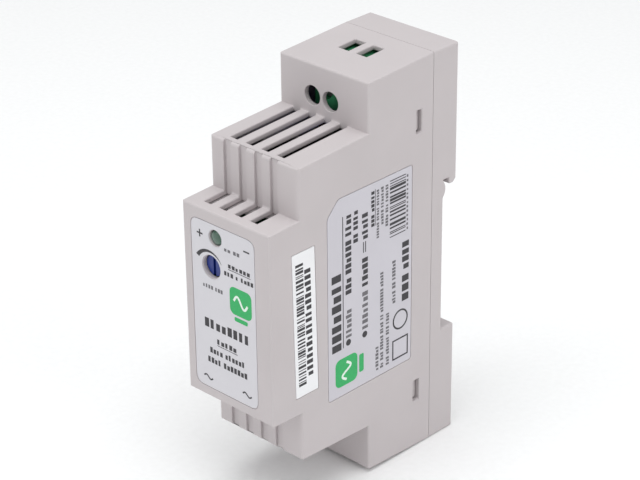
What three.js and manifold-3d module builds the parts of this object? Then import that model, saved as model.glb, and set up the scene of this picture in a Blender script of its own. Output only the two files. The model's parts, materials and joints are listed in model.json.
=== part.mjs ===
// A 25 mm wide, one-module power supply for a 35 mm top-hat rail.
// Millimetres. +X is right seen from the front, -Y faces the user, +Z is up.
// The origin is on the rail seat: middle of the width, the seat's plane, the rail's centre line.
// Inside the exported group, z = 0 is the housing's own middle.
import * as THREE from "three";
import { mergeVertices } from "three/addons/utils/BufferGeometryUtils.js";
import Module from "manifold-3d";

const wasm = await Module();
wasm.setup();

// ---------------------------------------------------------------- driving dimensions
const WIDTH = 25;
const HEIGHT = 93;
const DEPTH = 56;
const SEAT_TO_REAR = 4;
const MIDDLE_ABOVE_RAIL = 1.8;
const STEP_DEPTHS = { nose: 8.3, mid: 20.4 };
const NOSE_HALF = 22.0;
const MID_HALF = 33.7;
const DRAFT = 0.045;
const WALL = 1.25;
const COVER_WALL = 1.8;
const SIDE_WALL = 1.6;
const COVER_DEPTH = 7.5;
const BOARD_GAP = 0.05;
const MATE_GAP = 0.1;
const FILM_GAP = 0.02;

const HALF_WIDTH = WIDTH / 2;
const HALF_HEIGHT = HEIGHT / 2;
const REAR_Y = SEAT_TO_REAR;
const NOSE_Y = REAR_Y - DEPTH;
const MID_Y = NOSE_Y + STEP_DEPTHS.nose;
const BLOCK_Y = MID_Y + STEP_DEPTHS.mid;
const SEAM_Y = REAR_Y - COVER_DEPTH;
const INNER_X = HALF_WIDTH - SIDE_WALL;
const INNER_Z = HALF_HEIGHT - WALL;
const NOSE_BACK_HALF = NOSE_HALF + DRAFT * STEP_DEPTHS.nose;
const MID_BACK_HALF = MID_HALF + DRAFT * STEP_DEPTHS.mid;
const CASE_BACK = SEAM_Y - MATE_GAP;
const BLOCK_HALF = HALF_HEIGHT - DRAFT * (CASE_BACK - BLOCK_Y);

const EDGE = { top: 0.7, side: 0.5, noseFront: 0.6, midFront: 1.0, blockFront: 0.6 };
const CORNER_STEPS = 4;
const ROUND_SIDES = 24;
const SHAFT_SIDES = 16;

// how far a cutting tool runs past the surface it cuts
// and how deep a joined piece is buried in its neighbour
const OVERCUT = 1;
const BURY = 0.5;
const THROUGH = 100;

// vents and front openings
const VENT = { count: 4, first: -7.6, pitch: 4.42, width: 2.1, groove: 0.65 };
const MID_VENT_BAR = 2.1;
const NOSE_VENT_BAR = 2.5;
const TERMINAL = { x: -0.7, pitch: 5.08, z: 38.45, holeRadius: 2.2, slotX: 3.0, slotY: [-14.0, -8.6] };
const LED = { x: -3.1, z: 16.3, holeRadius: 1.75 };
const TRIMMER = { x: -4.5, z: 9.3, holeRadius: 2.55 };

// labels lie in shallow recesses, flush with the housing
const LABEL_RECESS = 0.2;
const LABEL_THICK = 0.15;
const LABEL_MARGIN = 0.15;
const FRONT_LABEL = { x: [-10.1, 8.1], z: [-19.6, 19.2], corner: 2 };
const RATING_LABEL = { y: [-35.5, -9.9], z: [-23.2, 23.1], corner: 0.8, chamfer: [3.3, 3.4] };
const SERIAL_LABEL = { y: [-45.5, -39.0], z: [-18.1, 15.3], lean: 0.02, corner: 0.3 };

// rear cover, rail recess and latch
const RECESS = { bottom: -20.0, top: 16.2 };
const HOOK = { gap: 2.0, tip: 1.7, leadIn: 0.7 };
const BUMP = { z: [11.9, 16.0], height: 0.85 };
const SNAP = { z: 32.2, half: 2.6, y: [-8.8, -7.0], tab: 1.0, reach: 0.6, sideGap: 0.3 };
const BARB = { tip: -0.5, root: 0.1, rampEnd: -0.7, back: -0.2 };
const TAB_PAST_WINDOW = 0.9;
const RIM = { thick: 1.2, height: 1.1, gap: 0.2 };
const CHANNEL = { wide: 6.0, narrow: 4.6, y: [-0.4, 1.9] };
const CHANNEL_BLOCK = 7.4;
const LATCH_CLEARANCE = 0.2;
const LATCH = {
  bottom: -46.2, shoulder: -20.3, nose: -17.3, noseY: 1.2, noseThick: 0.8, ramp: 0.5,
  window: [-37.3, -26.0]
};
const LATCH_WINDOW_HALF = 2.3;
const LATCH_POCKET = { half: 5.0, top: -16.8, depth: 0.6 };
const PULL_SLOT = { half: 2.5, z: [-44.6, -42.2] };
const PEG = { half: 1.9, y: 3.2, z: [-37.0, -35.0] };
const CHANNEL_END = RECESS.bottom + 0.01;
const SPRING = { radius: 1.5, wire: 0.26, turns: 6, y: 1.65, sides: 6, stepsPerTurn: 10 };

// boards
const MAIN_BOARD = { front: -6.9, thick: 1.6, halfX: 10.6, halfZ: 44.2 };
const CONTROL_BOARD = { x: [-9.4, -8.2], y: [-48.6, -7.0], z: [-2.0, 19.8] };
const MOUNT_Y = MAIN_BOARD.front - BOARD_GAP;
const LEDGE = { reach: 1.3, thick: 1.55, z: [36, 42] };

const FINISH = {
  housing: { color: 0xc4c0be, roughness: 0.6 },
  latch: { color: 0xb9b5b3, roughness: 0.55 },
  film: { color: 0xc8cacb, roughness: 0.45 },
  paper: { color: 0xf0f0ee, roughness: 0.5 },
  steel: { color: 0xb8bcc0, roughness: 0.35, metalness: 1 },
  nickel: { color: 0xa9abac, roughness: 0.4, metalness: 1 },
  alloy: { color: 0xb4b7ba, roughness: 0.4, metalness: 1 },
  board: { color: 0x2f6b3a, roughness: 0.5 },
  terminal: { color: 0x2f8f63, roughness: 0.45 },
  led: { color: 0x2e6a4a, roughness: 0.2 },
  trimmer: { color: 0x1d4fa0, roughness: 0.4 },
  ferrite: { color: 0x35353a, roughness: 0.6 },
  tape: { color: 0xe6c534, roughness: 0.4 },
  black: { color: 0x1e1e20, roughness: 0.45 },
  sleeve: { color: 0x2c2a78, roughness: 0.35 },
  yellowBox: { color: 0xd9b52f, roughness: 0.5 },
  chip: { color: 0x1a1a1c, roughness: 0.5 },
  copper: { color: 0xb06a3a, roughness: 0.5 },
  disc: { color: 0x2f63b8, roughness: 0.5 },
  thermistor: { color: 0x3c4a30, roughness: 0.5 },
  sheet: { color: 0xe3e0cf, roughness: 0.5 }
};

// ---------------------------------------------------------------- solids
function toSolid(geometry) {
  const plain = geometry.index ? geometry.clone() : geometry;
  plain.deleteAttribute("normal");
  plain.deleteAttribute("uv");
  const merged = mergeVertices(plain);
  const mesh = new wasm.Mesh({
    numProp: 3,
    vertProperties: new Float32Array(merged.attributes.position.array),
    triVerts: new Uint32Array(merged.index.array)
  });
  return new wasm.Manifold(mesh);
}

function toGeometry(solid) {
  const mesh = solid.getMesh();
  const geometry = new THREE.BufferGeometry();
  geometry.setAttribute("position", new THREE.BufferAttribute(mesh.vertProperties, 3));
  geometry.setIndex(new THREE.BufferAttribute(mesh.triVerts, 1));
  return geometry;
}

function union(...solids) {
  return solids.reduce((whole, solid) => whole.add(solid));
}

function cut(solid, ...tools) {
  return tools.reduce((left, tool) => left.subtract(tool), solid);
}

function box(x, y, z) {
  const geometry = new THREE.BoxGeometry(x[1] - x[0], y[1] - y[0], z[1] - z[0]);
  geometry.translate((x[0] + x[1]) / 2, (y[0] + y[1]) / 2, (z[0] + z[1]) / 2);
  return toSolid(geometry);
}

// A closed outline of [u, v, corner radius] points.
function outline(points) {
  const shape = new THREE.Shape();
  const count = points.length;
  for (let i = 0; i < count; i += 1) {
    const [u, v, radius] = points[i];
    const here = new THREE.Vector2(u, v);
    const before = new THREE.Vector2(...points[(i + count - 1) % count].slice(0, 2));
    const after = new THREE.Vector2(...points[(i + 1) % count].slice(0, 2));
    if (!radius) {
      if (i === 0) shape.moveTo(u, v);
      else shape.lineTo(u, v);
      continue;
    }
    const start = here.clone().add(before.sub(here).setLength(radius));
    const end = here.clone().add(after.sub(here).setLength(radius));
    if (i === 0) shape.moveTo(start.x, start.y);
    else shape.lineTo(start.x, start.y);
    shape.quadraticCurveTo(u, v, end.x, end.y);
  }
  shape.closePath();
  return shape;
}

function rectangle(u, v, radii = [0, 0, 0, 0]) {
  return outline([
    [u[0], v[0], radii[0]],
    [u[1], v[0], radii[1]],
    [u[1], v[1], radii[2]],
    [u[0], v[1], radii[3]]
  ]);
}

function circle(u, v, radius) {
  return new THREE.Shape().absarc(u, v, radius, 0, 2 * Math.PI, false);
}

function extruded(shape, depth, steps = CORNER_STEPS) {
  return new THREE.ExtrudeGeometry(shape, { depth, bevelEnabled: false, curveSegments: steps });
}

const X_AXIS = new THREE.Vector3(1, 0, 0);
const Y_AXIS = new THREE.Vector3(0, 1, 0);
const Z_AXIS = new THREE.Vector3(0, 0, 1);
const YZ_ALONG_X = new THREE.Matrix4().makeBasis(Y_AXIS, Z_AXIS, X_AXIS);
const XZ_ALONG_MINUS_Y = new THREE.Matrix4().makeBasis(X_AXIS, Z_AXIS, Y_AXIS.clone().negate());

function prismX(shape, x, steps) {
  return extruded(shape, x[1] - x[0], steps).applyMatrix4(YZ_ALONG_X).translate(x[0], 0, 0);
}

function prismY(shape, y, steps) {
  return extruded(shape, y[1] - y[0], steps).applyMatrix4(XZ_ALONG_MINUS_Y).translate(0, y[1], 0);
}

function prismZ(shape, z, steps) {
  return extruded(shape, z[1] - z[0], steps).translate(0, 0, z[0]);
}

function rod(x, z, radius, y, sides = ROUND_SIDES) {
  return toSolid(prismY(circle(x, z, radius), y, sides / 2));
}

// A turned piece whose axis runs along -Y from (x, y, z); profile is [radius, height] pairs.
function turned(profile, x, y, z, sides = ROUND_SIDES) {
  const points = profile.map(([radius, height]) => new THREE.Vector2(radius, height));
  const geometry = new THREE.LatheGeometry(points, sides);
  geometry.rotateX(Math.PI);
  geometry.translate(x, y, z);
  return geometry;
}

function span(a, b) {
  return [Math.min(a, b), Math.max(a, b)];
}

function grown(range, margin) {
  return [range[0] - margin, range[1] + margin];
}

function around(centre, half) {
  return [centre - half, centre + half];
}

// ---------------------------------------------------------------- scene graph
const model = new THREE.Group();
model.position.z = MIDDLE_ABOVE_RAIL;

function addPiece(name, solid, finish) {
  const geometry = solid.isBufferGeometry ? solid : toGeometry(solid);
  const mesh = new THREE.Mesh(geometry, new THREE.MeshStandardMaterial(finish));
  mesh.name = name;
  model.add(mesh);
}

// ---------------------------------------------------------------- front case
// One step of the housing: rounded front edges in plan, rounded outer edges,
// and a draft that widens rearward.
function stepBlock(frontY, backY, frontHalf, backHalf, planRadius) {
  const side = outline([
    [frontY, -frontHalf, EDGE.top],
    [backY, -backHalf, 0],
    [backY, backHalf, 0],
    [frontY, frontHalf, EDGE.top]
  ]);
  const plan = rectangle([-HALF_WIDTH, HALF_WIDTH], [frontY, backY], [planRadius, planRadius, 0, 0]);
  const face = prismY(
    rectangle([-HALF_WIDTH, HALF_WIDTH], [-backHalf, backHalf], Array(4).fill(EDGE.side)),
    [frontY, backY]
  );
  const vertices = face.attributes.position;
  for (let i = 0; i < vertices.count; i += 1) {
    const atFront = vertices.getY(i) < (frontY + backY) / 2;
    if (atFront) vertices.setZ(i, vertices.getZ(i) * (frontHalf / backHalf));
  }
  return toSolid(prismX(side, [-HALF_WIDTH, HALF_WIDTH]))
    .intersect(toSolid(prismZ(plan, [-backHalf, backHalf])))
    .intersect(toSolid(face));
}

function ventCentres() {
  return Array.from({ length: VENT.count }, (_, i) => VENT.first + i * VENT.pitch);
}

// Slots through the top and bottom of both steps, each running into a groove down the face behind it.
function ventCuts() {
  const cuts = [];
  for (const x of ventCentres()) {
    const across = [x - VENT.width / 2, x + VENT.width / 2];
    for (const side of [1, -1]) {
      const noseWall = span(side * (NOSE_HALF - WALL - OVERCUT), side * (NOSE_BACK_HALF + OVERCUT));
      const midWall = span(side * (MID_HALF - WALL - OVERCUT), side * (MID_BACK_HALF + OVERCUT));
      const groove = span(side * NOSE_HALF, side * (MID_BACK_HALF + OVERCUT));
      cuts.push(box(across, [NOSE_Y + NOSE_VENT_BAR, MID_Y + VENT.groove], noseWall));
      cuts.push(box(across, [MID_Y + MID_VENT_BAR, BLOCK_Y], midWall));
      cuts.push(box(across, [MID_Y - OVERCUT, MID_Y + VENT.groove], groove));
    }
  }
  return cuts;
}

function poleCentres() {
  return [TERMINAL.x - TERMINAL.pitch / 2, TERMINAL.x + TERMINAL.pitch / 2];
}

function terminalCuts() {
  const cuts = [];
  for (const x of poleCentres()) {
    for (const side of [1, -1]) {
      cuts.push(rod(x, side * TERMINAL.z, TERMINAL.holeRadius, grown([BLOCK_Y, BLOCK_Y + WALL], OVERCUT)));
      const slot = [x - TERMINAL.slotX / 2, x + TERMINAL.slotX / 2];
      const wall = span(side * (INNER_Z - OVERCUT), side * (HALF_HEIGHT + OVERCUT));
      cuts.push(box(slot, TERMINAL.slotY, wall));
    }
  }
  return cuts;
}

function ratingShape(margin) {
  const [y0, y1] = RATING_LABEL.y;
  const [z0, z1] = RATING_LABEL.z;
  const [chamferY, chamferZ] = RATING_LABEL.chamfer;
  const r = RATING_LABEL.corner;
  return outline([
    [y0 - margin, z0 - margin, r],
    [y1 + margin, z0 - margin, r],
    [y1 + margin, z1 + margin, r],
    [y0 + chamferY - margin, z1 + margin, r],
    [y0 - margin, z1 - chamferZ + margin, r]
  ]);
}

// The serial label is stuck on by hand, so its long edges lean a little.
function serialShape(margin) {
  const [y0, y1] = grown(SERIAL_LABEL.y, margin);
  const [z0, z1] = grown(SERIAL_LABEL.z, margin);
  const { corner, lean } = SERIAL_LABEL;
  return outline([
    [y0 - lean * z0, z0, corner],
    [y1 - lean * z0, z0, corner],
    [y1 - lean * z1, z1, corner],
    [y0 - lean * z1, z1, corner]
  ]);
}

function frontLabelShape(margin) {
  return rectangle(
    grown(FRONT_LABEL.x, margin), grown(FRONT_LABEL.z, margin), Array(4).fill(FRONT_LABEL.corner)
  );
}

function labelRecesses() {
  const sideBand = [HALF_WIDTH - LABEL_RECESS, HALF_WIDTH + OVERCUT];
  return [
    toSolid(prismY(frontLabelShape(LABEL_MARGIN), [NOSE_Y - OVERCUT, NOSE_Y + LABEL_RECESS])),
    toSolid(prismX(ratingShape(LABEL_MARGIN), sideBand)),
    toSolid(prismX(serialShape(LABEL_MARGIN), sideBand))
  ];
}

function snapWindows() {
  const windows = [];
  for (const side of [1, -1]) {
    windows.push(box(grown([-HALF_WIDTH, HALF_WIDTH], OVERCUT), SNAP.y, around(side * SNAP.z, SNAP.half)));
  }
  return windows;
}

// Four ledges on the side walls, which the main board rests against.
function boardLedges() {
  const ledges = [];
  for (const side of [1, -1]) {
    for (const end of [1, -1]) {
      const x = span(side * (INNER_X - LEDGE.reach), side * (INNER_X + SIDE_WALL / 2));
      ledges.push(box(x, [MOUNT_Y - LEDGE.thick, MOUNT_Y], span(end * LEDGE.z[0], end * LEDGE.z[1])));
    }
  }
  return ledges;
}

// The hollow inside one step, drafted like the step so that the wall stays even.
function stepHollow(frontY, backY, frontHalf, backHalf) {
  return toSolid(prismX(outline([
    [frontY, -frontHalf, 0],
    [backY, -backHalf, 0],
    [backY, backHalf, 0],
    [frontY, frontHalf, 0]
  ]), [-INNER_X, INNER_X]));
}

function frontCase() {
  const noseWall = grown([NOSE_Y, NOSE_Y + WALL], OVERCUT);
  const shell = union(
    stepBlock(NOSE_Y, MID_Y + WALL, NOSE_HALF, NOSE_BACK_HALF, EDGE.noseFront),
    stepBlock(MID_Y, BLOCK_Y + WALL, MID_HALF, MID_BACK_HALF, EDGE.midFront),
    stepBlock(BLOCK_Y, CASE_BACK, BLOCK_HALF, HALF_HEIGHT, EDGE.blockFront)
  );
  const hollow = union(
    stepHollow(NOSE_Y + WALL, MID_Y + WALL + OVERCUT, NOSE_HALF - WALL, NOSE_BACK_HALF - WALL),
    stepHollow(MID_Y + WALL, BLOCK_Y + WALL + OVERCUT, MID_HALF - WALL, MID_BACK_HALF - WALL),
    stepHollow(BLOCK_Y + WALL, CASE_BACK + OVERCUT, BLOCK_HALF - WALL, INNER_Z)
  );
  return cut(
    union(cut(shell, hollow), ...boardLedges()),
    ...ventCuts(),
    ...terminalCuts(),
    ...labelRecesses(),
    ...snapWindows(),
    rod(LED.x, LED.z, LED.holeRadius, noseWall),
    rod(TRIMMER.x, TRIMMER.z, TRIMMER.holeRadius, noseWall)
  );
}

// ---------------------------------------------------------------- rear cover
function railRecess() {
  const hookZ = RECESS.top - HOOK.tip;
  const open = REAR_Y + OVERCUT;
  return toSolid(prismX(outline([
    [0, RECESS.bottom, 0],
    [open, RECESS.bottom, 0],
    [open, hookZ + HOOK.leadIn, 0],
    [REAR_Y, hookZ + HOOK.leadIn, 0],
    [REAR_Y - HOOK.leadIn, hookZ, 0],
    [HOOK.gap, hookZ, 0],
    [HOOK.gap, RECESS.top, 0],
    [0, RECESS.top, 0]
  ]), grown([-HALF_WIDTH, HALF_WIDTH], OVERCUT)));
}

// A shallow rounded rib on the seat that presses the rail's upper edge against the hook.
function gripBump() {
  const [z0, z1] = BUMP.z;
  const shape = new THREE.Shape();
  shape.moveTo(-COVER_WALL / 2, z0);
  shape.lineTo(0, z0);
  shape.quadraticCurveTo(2 * BUMP.height, (z0 + z1) / 2, 0, z1);
  shape.lineTo(-COVER_WALL / 2, z1);
  shape.closePath();
  return toSolid(prismX(shape, [-HALF_WIDTH, HALF_WIDTH], CORNER_STEPS * 2));
}

// Barbed tabs beside the rim that catch in the front case's windows.
function snapTabs() {
  const tabs = [];
  const outer = INNER_X - RIM.gap;
  const [windowFront, windowBack] = SNAP.y;
  for (const side of [1, -1]) {
    for (const end of [1, -1]) {
      const z = around(end * SNAP.z, SNAP.half - SNAP.sideGap);
      const tab = box(
        span(side * (outer - SNAP.tab), side * outer),
        [windowFront - TAB_PAST_WINDOW, SEAM_Y + OVERCUT],
        z
      );
      const barb = outline([
        [side * (outer - SNAP.tab / 2), windowFront + BARB.tip, 0],
        [side * outer, windowFront + BARB.root, 0],
        [side * (INNER_X + SNAP.reach), windowBack + BARB.rampEnd, 0],
        [side * (INNER_X + SNAP.reach), windowBack + BARB.back, 0],
        [side * (outer - SNAP.tab / 2), windowBack + BARB.back, 0]
      ]);
      tabs.push(tab, toSolid(prismZ(barb, z)));
    }
  }
  return tabs;
}

function rearCover() {
  const face = rectangle([-HALF_WIDTH, HALF_WIDTH], [-HALF_HEIGHT, HALF_HEIGHT], Array(4).fill(EDGE.side));
  const plate = toSolid(prismY(face, [SEAM_Y, REAR_Y]));
  const rimX = INNER_X - RIM.gap;
  const rimZ = INNER_Z - RIM.gap;
  const hollowX = rimX - RIM.thick;
  const hollowZ = rimZ - RIM.thick;
  const rimFront = SEAM_Y - RIM.height;
  const rim = box([-rimX, rimX], [rimFront, SEAM_Y + OVERCUT], [-rimZ, rimZ]);
  const seatBack = -COVER_WALL;
  const lobeBack = REAR_Y - COVER_WALL;
  const lobeY = [seatBack - OVERCUT, lobeBack];
  const upperLobe = [RECESS.top + COVER_WALL, hollowZ];
  const lowerLobe = [-hollowZ, RECESS.bottom - COVER_WALL];
  const hollows = [
    box([-hollowX, hollowX], [rimFront - OVERCUT, seatBack], [-hollowZ, hollowZ]),
    box([-hollowX, hollowX], lobeY, upperLobe),
    box([-hollowX, -CHANNEL_BLOCK], lobeY, lowerLobe),
    box([CHANNEL_BLOCK, hollowX], lobeY, lowerLobe)
  ];
  const pocketZ = [RECESS.bottom - OVERCUT, LATCH_POCKET.top];
  const channel = [
    box([-CHANNEL.wide, CHANNEL.wide], CHANNEL.y, [-THROUGH, CHANNEL_END]),
    box([-CHANNEL.narrow, CHANNEL.narrow], [CHANNEL.y[0], REAR_Y + OVERCUT], [-THROUGH, CHANNEL_END]),
    box([-LATCH_POCKET.half, LATCH_POCKET.half], [-LATCH_POCKET.depth, REAR_Y], pocketZ)
  ];
  const peg = box([-PEG.half, PEG.half], [CHANNEL.y[0] - BURY, PEG.y], PEG.z);
  return union(
    cut(union(cut(union(plate, rim), railRecess()), gripBump()), ...hollows, ...channel),
    peg,
    ...snapTabs()
  );
}

// ---------------------------------------------------------------- latch and its spring
function latch() {
  const wide = CHANNEL.wide - LATCH_CLEARANCE;
  const narrow = CHANNEL.narrow - LATCH_CLEARANCE;
  const flangeY = [CHANNEL.y[0] + LATCH_CLEARANCE, CHANNEL.y[1] - LATCH_CLEARANCE];
  const stemBack = REAR_Y - LATCH_CLEARANCE;
  const flange = box([-wide, wide], flangeY, [LATCH.bottom, LATCH.shoulder]);
  const stem = box([-narrow, narrow], [flangeY[0], stemBack], [LATCH.bottom, LATCH.shoulder]);
  const nose = toSolid(prismX(outline([
    [LATCH.noseY, LATCH.shoulder - BURY, 0],
    [stemBack, LATCH.shoulder - BURY, 0],
    [stemBack, LATCH.shoulder + LATCH.ramp, 0],
    [LATCH.noseY + LATCH.noseThick, LATCH.nose, 0],
    [LATCH.noseY, LATCH.nose, 0]
  ]), [-narrow, narrow]));
  const through = grown([flangeY[0], REAR_Y], OVERCUT);
  const springWindow = box([-LATCH_WINDOW_HALF, LATCH_WINDOW_HALF], through, LATCH.window);
  const pullSlot = box([-PULL_SLOT.half, PULL_SLOT.half], through, PULL_SLOT.z);
  return cut(union(flange, stem, nose), springWindow, pullSlot);
}

class Helix extends THREE.Curve {
  constructor(radius, turns, y, z) {
    super();
    Object.assign(this, { radius, turns, y, z });
  }

  getPoint(t, target = new THREE.Vector3()) {
    const angle = 2 * Math.PI * this.turns * t;
    const height = this.z[0] + (this.z[1] - this.z[0]) * t;
    return target.set(this.radius * Math.cos(angle), this.y + this.radius * Math.sin(angle), height);
  }
}

function latchSpring() {
  const ends = [PEG.z[1] + SPRING.wire + MATE_GAP, LATCH.window[1] - SPRING.wire - MATE_GAP];
  const path = new Helix(SPRING.radius, SPRING.turns, SPRING.y, ends);
  return toSolid(new THREE.ExtrudeGeometry(circle(0, 0, SPRING.wire), {
    steps: SPRING.turns * SPRING.stepsPerTurn,
    curveSegments: SPRING.sides / 2,
    extrudePath: path,
    bevelEnabled: false
  }));
}

// ---------------------------------------------------------------- labels
function frontLabel() {
  const front = NOSE_Y + LABEL_RECESS - FILM_GAP - LABEL_THICK;
  const through = around(NOSE_Y, OVERCUT);
  return cut(
    toSolid(prismY(frontLabelShape(0), [front, front + LABEL_THICK])),
    rod(LED.x, LED.z, LED.holeRadius + LABEL_MARGIN, through),
    rod(TRIMMER.x, TRIMMER.z, TRIMMER.holeRadius + LABEL_MARGIN, through)
  );
}

function sideLabel(shape) {
  const inner = HALF_WIDTH - LABEL_RECESS + FILM_GAP;
  return toSolid(prismX(shape, [inner, inner + LABEL_THICK]));
}

// ---------------------------------------------------------------- terminal blocks
// Heights are measured forward (-Y) from the main board's face; z runs outward from the housing's middle.
const BLOCK = { x: 11.0, z: [34.5, 44.3], height: 12.4, shoulder: 7.6, slope: 1.6, corner: 0.4 };
const CAVITY = { x: 2.15, z: [35.9, 42.1], floor: 0.8, top: 9.2 };
const WELL = { radius: 2.0, floor: 9.8 };
const SHAFT_HOLE = 1.4;
const SCREW = {
  shaft: 1.2, tip: 5.45, headRadius: 1.8, head: [9.85, 11.2], slotWidth: 0.6, slotDepth: 0.7
};
const CAGE = { x: 1.95, z: [36.4, 41.4], base: [0.9, 1.6], top: [5.9, 6.7], wall: 0.45, hole: 1.27 };
const BAR = { x: 1.1, height: [4.6, 5.3], z: [34.95, 43.2], pin: 0.45, pinEnd: 3.2, clear: 0.15 };
const ENTRY = { x: 1.6, height: [1.4, 6.0] };

function heights(low, high) {
  return [MOUNT_Y - high, MOUNT_Y - low];
}

function pinZ(end) {
  return span(end * BAR.z[0], end * (BAR.z[0] + 2 * BAR.pin));
}

function terminalBlock(end) {
  const outward = (a, b) => span(end * a, end * b);
  const body = toSolid(prismX(outline([
    [MOUNT_Y - BLOCK.height, end * BLOCK.z[0], BLOCK.corner],
    [MOUNT_Y, end * BLOCK.z[0], 0],
    [MOUNT_Y, end * BLOCK.z[1], 0],
    [MOUNT_Y - BLOCK.shoulder, end * BLOCK.z[1], BLOCK.corner],
    [MOUNT_Y - BLOCK.height, end * (BLOCK.z[1] - BLOCK.slope), BLOCK.corner]
  ]), around(TERMINAL.x, BLOCK.x / 2)));
  const barSlot = heights(...grown(BAR.height, BAR.clear));
  const pinHeights = heights(-OVERCUT, BAR.height[1]);
  const barSlotZ = outward(BAR.z[0] - BAR.clear, CAVITY.z[0] + OVERCUT);
  const entryZ = outward(CAVITY.z[1] - OVERCUT, BLOCK.z[1] + OVERCUT);
  const cuts = [];
  for (const x of poleCentres()) {
    cuts.push(box(around(x, CAVITY.x), heights(CAVITY.floor, CAVITY.top), outward(...CAVITY.z)));
    cuts.push(rod(x, end * TERMINAL.z, SHAFT_HOLE, heights(CAVITY.top - OVERCUT, WELL.floor + OVERCUT)));
    cuts.push(rod(x, end * TERMINAL.z, WELL.radius, heights(WELL.floor, BLOCK.height + OVERCUT)));
    cuts.push(box(around(x, ENTRY.x), heights(...ENTRY.height), entryZ));
    cuts.push(box(around(x, BAR.x + BAR.clear), barSlot, barSlotZ));
    cuts.push(box(around(x, BAR.pin + BAR.clear), pinHeights, grown(pinZ(end), BAR.clear)));
  }
  return cut(body, ...cuts);
}

function terminalScrew(x, end) {
  const z = end * TERMINAL.z;
  const shaft = rod(x, z, SCREW.shaft, heights(SCREW.tip, SCREW.head[0] + BURY), SHAFT_SIDES);
  const head = rod(x, z, SCREW.headRadius, heights(...SCREW.head));
  const slot = box(
    around(x, SCREW.headRadius + OVERCUT),
    heights(SCREW.head[1] - SCREW.slotDepth, SCREW.head[1] + OVERCUT),
    around(z, SCREW.slotWidth / 2)
  );
  return cut(union(shaft, head), slot);
}

function clampCage(x, end) {
  const z = span(end * CAGE.z[0], end * CAGE.z[1]);
  const whole = box(around(x, CAGE.x), heights(CAGE.base[0], CAGE.top[1]), z);
  const bore = box(around(x, CAGE.x - CAGE.wall), heights(CAGE.base[1], CAGE.top[0]), grown(z, OVERCUT));
  const threadHole = rod(x, end * TERMINAL.z, CAGE.hole, heights(...grown(CAGE.top, OVERCUT)), SHAFT_SIDES);
  return cut(whole, bore, threadHole);
}

function contactBar(x, end) {
  const bar = box(around(x, BAR.x), heights(...BAR.height), span(end * BAR.z[0], end * BAR.z[1]));
  const pin = box(around(x, BAR.pin), heights(-BAR.pinEnd, BAR.height[0] + BURY), pinZ(end));
  return union(bar, pin);
}

// ---------------------------------------------------------------- boards
const NOTCH = 1.4;

function mainBoard() {
  const { halfX, halfZ, front, thick } = MAIN_BOARD;
  const y = [front, front + thick];
  const through = grown(y, OVERCUT);
  const cuts = [];
  for (const end of [1, -1]) {
    const notchZ = around(end * SNAP.z, SNAP.half);
    cuts.push(box([halfX - NOTCH, halfX + OVERCUT], through, notchZ));
    cuts.push(box([-halfX - OVERCUT, -halfX + NOTCH], through, notchZ));
    for (const x of poleCentres()) {
      cuts.push(box(around(x, BAR.pin + BAR.clear), through, grown(pinZ(end), BAR.clear)));
    }
  }
  return cut(box([-halfX, halfX], y, [-halfZ, halfZ]), ...cuts);
}

const CONTROL_FACE = CONTROL_BOARD.x[1] + BOARD_GAP;

// ---------------------------------------------------------------- status light and trimmer
const LENS = {
  radius: 1.65, tip: NOSE_Y + 0.1, base: NOSE_Y + 5.6, cap: 0.5, flange: 1.9, flangeThick: 0.9
};
const LED_LEG = { half: 0.25, spacing: 1.27, back: LENS.base + 1.8 };

// A round lens with a low domed cap, on two legs that turn back to the control board.
function statusLed() {
  const capStart = LENS.base - LENS.tip - LENS.cap;
  const profile = [
    [0, 0],
    [LENS.flange, 0],
    [LENS.flange, LENS.flangeThick],
    [LENS.radius, LENS.flangeThick]
  ];
  for (let i = 0; i < CORNER_STEPS; i += 1) {
    const angle = (i / CORNER_STEPS) * (Math.PI / 2);
    profile.push([LENS.radius * Math.cos(angle), capStart + LENS.cap * Math.sin(angle)]);
  }
  profile.push([0, capStart + LENS.cap]);
  const lens = toSolid(turned(profile, LED.x, LENS.base, LED.z));
  const legX = LED.x + LED_LEG.half;
  const legs = [1, -1].map((end) => {
    const z = around(LED.z + end * LED_LEG.spacing, LED_LEG.half);
    return union(
      box(around(LED.x, LED_LEG.half), [LENS.base - BURY, LED_LEG.back], z),
      box([CONTROL_FACE, legX], [LED_LEG.back - 2 * LED_LEG.half, LED_LEG.back], z)
    );
  });
  return union(lens, ...legs);
}

const POT = {
  half: 3.1, front: NOSE_Y + 2.3, back: NOSE_Y + 7.0, well: 2.45, wellDepth: 1.3, shaftHole: 0.85
};
const POT_PIN = { half: 0.25, spacing: 2, y: [POT.back - 1.6, POT.back - 1.1] };
const ROTOR = {
  radius: 2.35, front: NOSE_Y + 1.0, back: POT.front + 1.2, shaft: 0.8, shaftBack: POT.back - 1.3,
  slotWidth: 0.7, slotDepth: 0.6
};

function trimmerBody() {
  const body = box(around(TRIMMER.x, POT.half), [POT.front, POT.back], around(TRIMMER.z, POT.half));
  const pins = [-1, 0, 1].map((place) => box(
    [CONTROL_FACE, TRIMMER.x - POT.half + BURY],
    POT_PIN.y,
    around(TRIMMER.z + place * POT_PIN.spacing, POT_PIN.half)
  ));
  return cut(
    union(body, ...pins),
    rod(TRIMMER.x, TRIMMER.z, POT.well, [POT.front - OVERCUT, POT.front + POT.wellDepth]),
    rod(TRIMMER.x, TRIMMER.z, POT.shaftHole, [POT.front, ROTOR.shaftBack + MATE_GAP], SHAFT_SIDES)
  );
}

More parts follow.
